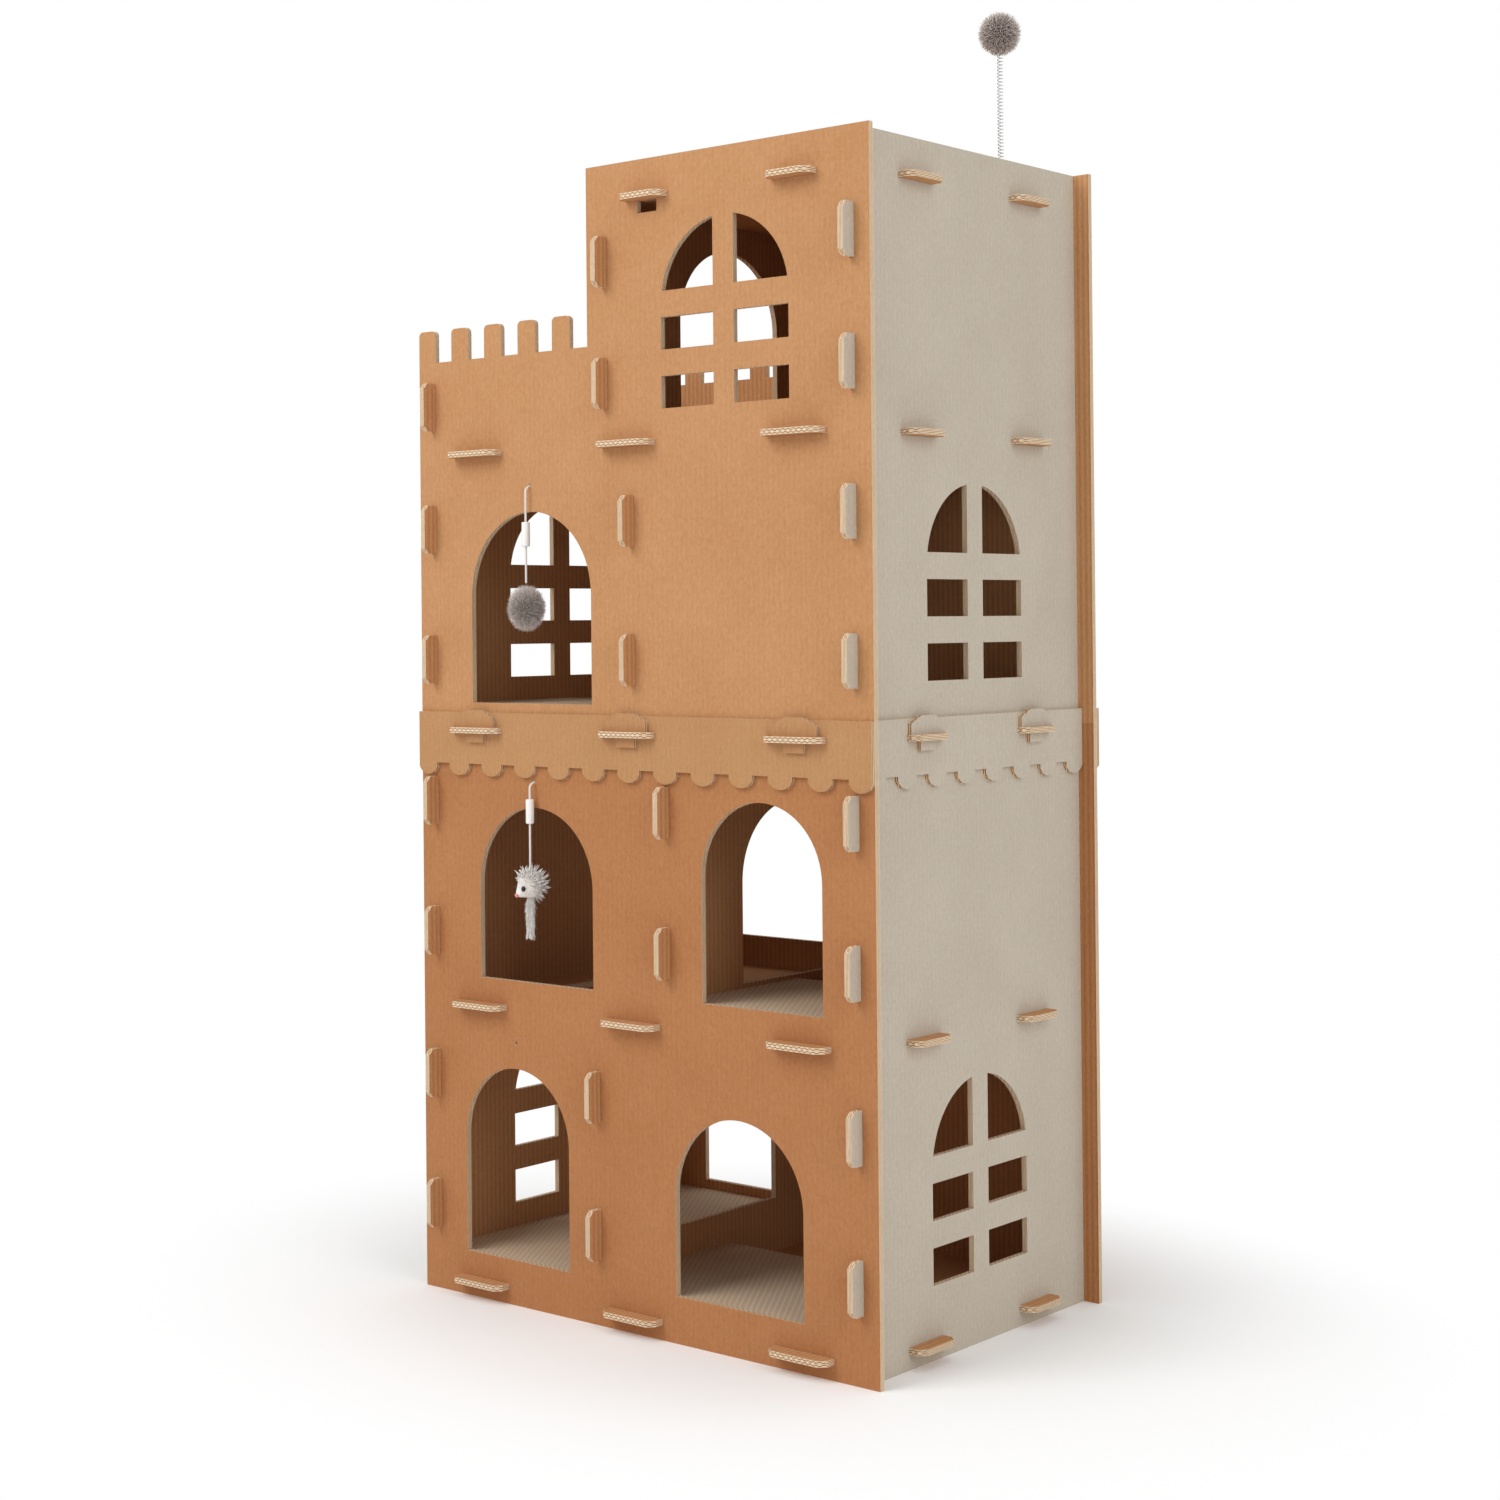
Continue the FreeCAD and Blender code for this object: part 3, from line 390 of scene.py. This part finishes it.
# Even directions on a ball, each a little off.
def scatter(count, chance):
    golden = math.pi * (3 - math.sqrt(5))
    for i in range(count):
        height = 1 - 2 * (i + 0.5) / count
        across = math.sqrt(1 - height * height)
        spot = Vector((across * math.cos(i * golden), across * math.sin(i * golden), height))
        yield (spot + Vector([chance.uniform(-0.05, 0.05) for axis in range(3)])).normalized()


# Pompoms.
pompoms = {
    "count": 2600, "core": 0.62, "thickness": 0.55 * mm, "lean": 0.42,
    # The root colour is darker than the tip colour: painted shade deep in the pile.
    "root": "#a8988f", "tip": "#e6dad3",
    "hanging": {"centre": (-0.155, -0.21895, 0.8055), "size": (23.5 * mm, 23.5 * mm, 28.5 * mm), "seed": 3},
    "onSpring": {"centre": (0.2625, 0.139, 1.4615), "size": (26.0 * mm, 26.0 * mm, 26.5 * mm), "seed": 8},
}


def makePompom(name, look, replaced):
    chance = random.Random(look["seed"])
    centre, size = Vector(look["centre"]), Vector(look["size"])
    core = pompoms["core"]
    bm = bmesh.new()
    inside = Matrix.Translation(centre) @ Matrix.Diagonal((*(size * core), 1))
    bmesh.ops.create_icosphere(bm, subdivisions=3, radius=1, matrix=inside)
    for way in scatter(pompoms["count"], chance):
        root = centre + Vector([way[i] * size[i] * core * 0.97 for i in range(3)])
        lean = Vector([chance.gauss(0, pompoms["lean"]) for axis in range(3)])
        direction = (Vector([way[i] * size[i] for i in range(3)]).normalized() + lean).normalized()
        reach = Vector([way[i] * size[i] for i in range(3)]).length * (1 - core) * chance.uniform(0.8, 1.06)
        tuft(bm, root, direction, reach, pompoms["thickness"])
    yarn = pileMaterial(f"{name}Yarn", pompoms["root"], pompoms["tip"], centre, size[0] * core, size[0])
    return finishPiece(name, bm, yarn, "grey_yarn", replaced)


ballPompom = makePompom("ballPompom", pompoms["hanging"], "ball_pompom")
springPompom = makePompom("springPompom", pompoms["onSpring"], "spring_pompom")
print("pompoms made")


# Beads: short tubes with rounded rims, threaded on the strings.
beads = {
    "radius": 4.75 * mm, "length": 28 * mm, "bore": 1.45 * mm, "rim": 1.1 * mm, "sides": 32,
    "ball": (-0.155, -0.21895, 0.8905),
    "mouse": (-0.1505, -0.22075, 0.573),
}
cotton = cottonMaterial()
whitePlastic = mouldedMaterial("mouldedWhitePolythene", "#fbfaf8", "#ece9e4", 0.32)


def makeBead(name, middle, replaced):
    bm = bmesh.new()
    bmesh.ops.create_cone(bm, cap_ends=True, segments=beads["sides"], radius1=beads["radius"],
                          radius2=beads["radius"], depth=beads["length"],
                          matrix=Matrix.Translation(middle))
    caps = [face for face in bm.faces if abs(face.normal.z) > 0.9]
    rims = list({edge for cap in caps for edge in cap.edges})
    bmesh.ops.bevel(bm, geom=rims, offset=beads["rim"], offset_type="OFFSET", segments=3, profile=0.5,
                    affect="EDGES", material=-1)
    caps = [face for face in bm.faces if len(face.verts) == beads["sides"]]
    bmesh.ops.inset_region(bm, faces=caps, thickness=beads["radius"] - beads["rim"] - beads["bore"])
    for cap in [face for face in bm.faces if len(face.verts) == beads["sides"]]:   # the mouth of the bore
        inward = cap.normal * -2 * mm
        pushed = bmesh.ops.extrude_discrete_faces(bm, faces=[cap])["faces"]
        bmesh.ops.translate(bm, verts=pushed[0].verts[:], vec=inward)
    return finishPiece(name, bm, whitePlastic, "bead", replaced)


ballBead = makeBead("ballBead", beads["ball"], "ball_bead")
mouseBead = makeBead("mouseBead", beads["mouse"], "mouse_bead")


# Knots behind the panel: two crossed turns of the cord.
knots = {
    "turn": 2.4 * mm, "thickness": 1.5 * mm,
    "ball": (-0.155, -0.2042, 0.9465), "mouse": (-0.1505, -0.2042, 0.6065),
}


def makeKnot(name, middle, replaced):
    bm = bmesh.new()
    for tilt in (-35, 35):
        stand = Matrix.Translation(middle) @ Matrix.Rotation(math.radians(tilt), 4, "Z")
        stand = stand @ Matrix.Translation((knots["turn"], 0, 0)) @ Matrix.Rotation(math.pi / 2, 4, "X")
        ring = bmesh.ops.create_circle(bm, segments=10, radius=knots["thickness"], matrix=stand)
        edges = list({edge for vert in ring["verts"] for edge in vert.link_edges})
        bmesh.ops.spin(bm, geom=ring["verts"] + edges, cent=middle, axis=(0, 0, 1), angle=2 * math.pi,
                       steps=24, use_merge=True)
        turned = [vert for vert in bm.verts if not vert.tag]
        bmesh.ops.rotate(bm, verts=turned, cent=middle, matrix=Matrix.Rotation(math.radians(tilt + 90), 3, "X"))
        for vert in turned:
            vert.tag = True
    bmesh.ops.recalc_face_normals(bm, faces=bm.faces)
    return finishPiece(name, bm, cotton, "string", replaced)


ballKnot = makeKnot("ballKnot", Vector(knots["ball"]), "ball_knot")
mouseKnot = makeKnot("mouseKnot", Vector(knots["mouse"]), "mouse_knot")


# The plush mouse: a pear-shaped head and body, a ruff of long tufts and a fluffy tail.
mouse = {
    "middle": (-0.1505, -0.22075, 0.4895), "size": (15.5 * mm, 14.5 * mm, 15.5 * mm),
    "nose": (-0.26, -0.80, -0.55), "noseReach": 22 * mm,
    "tailTop": 0.4775, "tailEnd": 0.4235, "seed": 5,
    "tufts": 900, "longShare": 0.22,     # the rest of the tufts are short
    "snoutFrom": 0.55, "faceFrom": 0.45,   # how far towards the nose the snout and the bare face start
    "tailTufts": 420,
    # The root colour is darker than the tip colour: painted shade deep in the plush.
    "root": "#cfc6bf", "tip": "#faf7f4",
}


def makeMouse():
    chance = random.Random(mouse["seed"])
    middle, size = Vector(mouse["middle"]), Vector(mouse["size"])
    nose = Vector(mouse["nose"]).normalized()
    bm = bmesh.new()
    made = bmesh.ops.create_icosphere(bm, subdivisions=4, radius=1,
                                      matrix=Matrix.Translation(middle) @ Matrix.Diagonal((*size, 1)))
    for vert in made["verts"]:     # drawn out to the snout
        away = (vert.co - middle).normalized().dot(nose)
        if away > mouse["snoutFrom"]:
            share = (away - mouse["snoutFrom"]) / (1 - mouse["snoutFrom"])
            vert.co += nose * (mouse["noseReach"] - size[0]) * share ** 1.6
            vert.co -= (vert.co - middle - nose * (vert.co - middle).dot(nose)) * 0.35 * share
    for way in scatter(mouse["tufts"], chance):
        forward = way.dot(nose)
        if forward > mouse["faceFrom"]:
            continue
        root = middle + Vector([way[i] * size[i] * 0.93 for i in range(3)])
        long = chance.random() < mouse["longShare"]
        sweep = Vector((chance.gauss(0, 0.3), chance.gauss(0, 0.3), chance.gauss(0.05, 0.3)))
        direction = (way + sweep - nose * 0.25).normalized()
        tuft(bm, root, direction, chance.uniform(7.5, 11) * mm if long else chance.uniform(3, 5) * mm,
             1.15 * mm if long else 0.8 * mm)
    plush = pileMaterial("whiteMousePlush", mouse["root"], mouse["tip"], middle, size[0] * 0.7, size[0] * 1.3)
    body = finishPiece("mouseBody", bm, plush, "white_plush", "mouse_body")
    bm = bmesh.new()
    for i in range(mouse["tailTufts"]):     # the tail's tufts lie down and outwards
        share = i / mouse["tailTufts"]
        height = mouse["tailTop"] + (mouse["tailEnd"] + 0.008 - mouse["tailTop"]) * share
        angle = chance.uniform(0, 2 * math.pi)
        side = Vector((math.cos(angle), math.sin(angle), 0))
        root = Vector((middle.x, middle.y, height)) + side * 2.6 * mm
        direction = (side * chance.uniform(0.15, 0.6) + Vector((-0.08, 0, -1))).normalized()
        tuft(bm, root, direction, chance.uniform(6, 11) * mm * (1.05 - 0.35 * share), 0.8 * mm)
    tailMiddle = (middle.x, middle.y, (mouse["tailTop"] + mouse["tailEnd"]) / 2 + 2 * mm)
    bmesh.ops.create_cone(bm, cap_ends=True, segments=12, radius1=2.2 * mm, radius2=3.6 * mm,
                          depth=mouse["tailTop"] - mouse["tailEnd"] - 4 * mm,
                          matrix=Matrix.Translation(tailMiddle))
    finishPiece("mouseTail", bm, plush, "white_plush")
    return body


# Eyes of shiny black plastic and a pink nose.
def makeMouseFace():
    middle, nose = Vector(mouse["middle"]), Vector(mouse["nose"]).normalized()
    side = nose.cross(Vector((0, 0, 1))).normalized()
    up = side.cross(nose)
    eyes = bmesh.new()
    for way in (-1, 1):
        spot = middle + nose * 13.2 * mm + side * way * 8.2 * mm + up * 4.2 * mm
        turn = (side * way * 0.7 + nose * 0.5).to_track_quat("Z", "Y").to_matrix().to_4x4()
        bmesh.ops.create_icosphere(eyes, subdivisions=3, radius=1, matrix=Matrix.Translation(spot) @ turn
                                   @ Matrix.Diagonal((2.5 * mm, 3.4 * mm, 2.2 * mm, 1)))
    black = mouldedMaterial("blackGlossPlastic", "#141210", "#080706", 0.15)
    eyes = finishPiece("mouseEyes", eyes, black, "white_plush")
    tip = bmesh.new()
    spot = middle + nose * (mouse["noseReach"] - 0.6 * mm)
    bmesh.ops.create_icosphere(tip, subdivisions=3, radius=1, matrix=Matrix.Translation(spot)
                               @ nose.to_track_quat("Z", "Y").to_matrix().to_4x4()
                               @ Matrix.Diagonal((3.0 * mm, 2.6 * mm, 1.8 * mm, 1)))
    pink = pileMaterial("pinkFelt", "#8c2430", "#e79a9c", spot, 0.4 * mm, 2.6 * mm)
    return eyes, finishPiece("mouseNose", tip, pink, "white_plush")


mouseBody = makeMouse()
mouseEyes, mouseNose = makeMouseFace()
print("mouse made")

for piece, replaced, route, length, riders in (
        (ballString, "ball_string", "ballRoute", "ballLength", [ballKnot, ballBead, ballPompom]),
        (mouseString, "mouse_string", "mouseRoute", "mouseLength",
         [mouseKnot, mouseBead, mouseBody, mouseEyes, mouseNose])):
    piece.data.materials.append(cotton)
    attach(piece, "root")
    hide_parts(replaced)
    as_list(riders)


# The ball's spring on the tower roof, and its foot.
spring = {
    "middle": (0.2625, 0.139), "low": 1.2655, "high": 1.4375, "pitch": 3.9 * mm,
    "radius": 3.0 * mm, "wire": 0.55 * mm, "stepsPerTurn": 16,
    "footRadius": 9 * mm, "footHeight": 5 * mm, "collarRadius": 4.6 * mm, "collarHeight": 5 * mm,
}


def makeSpring():
    x, y = spring["middle"]
    turns = (spring["high"] - spring["low"]) / spring["pitch"]
    steps = round(turns * spring["stepsPerTurn"])
    bm = bmesh.new()
    start = Matrix.Translation((x + spring["radius"], y, spring["low"])) @ Matrix.Rotation(math.pi / 2, 4, "X")
    ring = bmesh.ops.create_circle(bm, segments=6, radius=spring["wire"], matrix=start)
    edges = list({edge for vert in ring["verts"] for edge in vert.link_edges})
    bmesh.ops.spin(bm, geom=ring["verts"] + edges, cent=(x, y, 0), axis=(0, 0, 1), angle=turns * 2 * math.pi,
                   dvec=(0, 0, (spring["high"] - spring["low"]) / steps), steps=steps)
    bmesh.ops.holes_fill(bm, edges=[edge for edge in bm.edges if edge.is_boundary])
    bmesh.ops.recalc_face_normals(bm, faces=bm.faces)
    return finishPiece("spring", bm, springMaterial(), "spring_steel", "spring")


def makeFoot():
    low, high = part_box("spring_foot")
    x, y = spring["middle"]
    bm = bmesh.new()
    collarBase = low.z + spring["footHeight"] * 0.9
    for radius, height, base in ((spring["footRadius"], spring["footHeight"], low.z),
                                 (spring["collarRadius"], spring["collarHeight"], collarBase)):
        made = bmesh.ops.create_cone(bm, cap_ends=True, segments=40, radius1=radius, radius2=radius * 0.92,
                                     depth=height, matrix=Matrix.Translation((x, y, base + height / 2)))
        rims = {edge for vert in made["verts"] for edge in vert.link_edges
                if all(end.co.z > base + height / 2 for end in edge.verts)}
        bmesh.ops.bevel(bm, geom=list(rims), offset=1.0 * mm, offset_type="OFFSET", segments=3, profile=0.5,
                        affect="EDGES", material=-1)
    foot = mouldedMaterial("mouldedGreyPolythene", "#d5d1cb", "#bdb8b1", 0.5)
    return finishPiece("springFoot", bm, foot, "foot", "spring_foot")


makeSpring()
makeFoot()
print("spring toy made")


# Floor: white, keeps the castle's soft shadow, and runs out into a white background.
studio = {
    "floorSize": 30, "floorWhite": "#ffffff", "clearFrom": 0.3, "clearTo": 0.68,
    "ambient": 0.56,
}
lamps = [      # name, place, target, watts, size
    ("key", (-1.0, -2.9, 3.0), (0, 0, 0.9), 66, 2.2),
    ("fill", (3.6, -0.8, 2.2), (0, 0, 0.7), 40, 2.6),
    ("top", (0.2, 0.2, 3.8), (0, 0, 0.7), 14, 2.0),
]


def makeFloor():
    bm = bmesh.new()
    bmesh.ops.create_grid(bm, x_segments=8, y_segments=8, size=studio["floorSize"] / 2)
    mesh = bpy.data.meshes.new("floor")
    bm.to_mesh(mesh)
    bm.free()
    floor = link(bpy.data.objects.new("floor", mesh))
    material, tree, shader = newMaterial("whiteStudioFloor", Roughness=0.9, Specular_IOR_Level=0.0)
    shader["Base Color"].default_value = colour(studio["floorWhite"])
    place = add(tree, "TexCoord", out=3)
    spot = add(tree, "SeparateXYZ", place, out=None)
    flat = add(tree, "CombineXYZ", add(tree, "Math", spot[axisX], 0.75, operation="MULTIPLY"), spot[axisY])
    distance = add(tree, "VectorMath", flat, operation="LENGTH")
    away = add(tree, "MapRange", distance, studio["clearFrom"], studio["clearTo"], 0.0, 1.0,
               interpolation_type="SMOOTHSTEP")
    seen = add(tree, "LightPath", out=0)
    clear = add(tree, "Math", away, seen, operation="MULTIPLY")
    white = add(tree, "Emission", (1, 1, 1, 1), 1.0)
    mix = add(tree, "MixShader", clear, tree.nodes["Principled BSDF"].outputs[0], white)
    tree.links.new(mix, tree.nodes["Material Output"].inputs["Surface"])
    mesh.materials.append(material)


def makeLight(name, place, target, watts, size):
    light = bpy.data.lights.new(name, "AREA")
    light.energy = watts
    light.size = size
    lamp = link(bpy.data.objects.new(name, light))
    lamp.location = place
    lamp.rotation_euler = (Vector(target) - Vector(place)).to_track_quat("-Z", "Y").to_euler()


def makeWorld():
    world = bpy.data.worlds.new("studio")
    world.use_nodes = True
    bpy.context.scene.world = world
    tree = world.node_tree
    path = add(tree, "LightPath", out=None)
    seen = add(tree, "Math", path[0], path[3], operation="MAXIMUM")
    seen = add(tree, "Math", seen, path[6], operation="MAXIMUM")
    ambient = add(tree, "Background", (1, 1, 1, 1), studio["ambient"])
    white = add(tree, "Background", (1, 1, 1, 1), 1.0)
    mix = add(tree, "MixShader", seen, ambient, white)
    tree.links.new(mix, tree.nodes["World Output"].inputs["Surface"])


makeFloor()
makeWorld()
for lamp in lamps:
    makeLight(*lamp)
print("studio made")
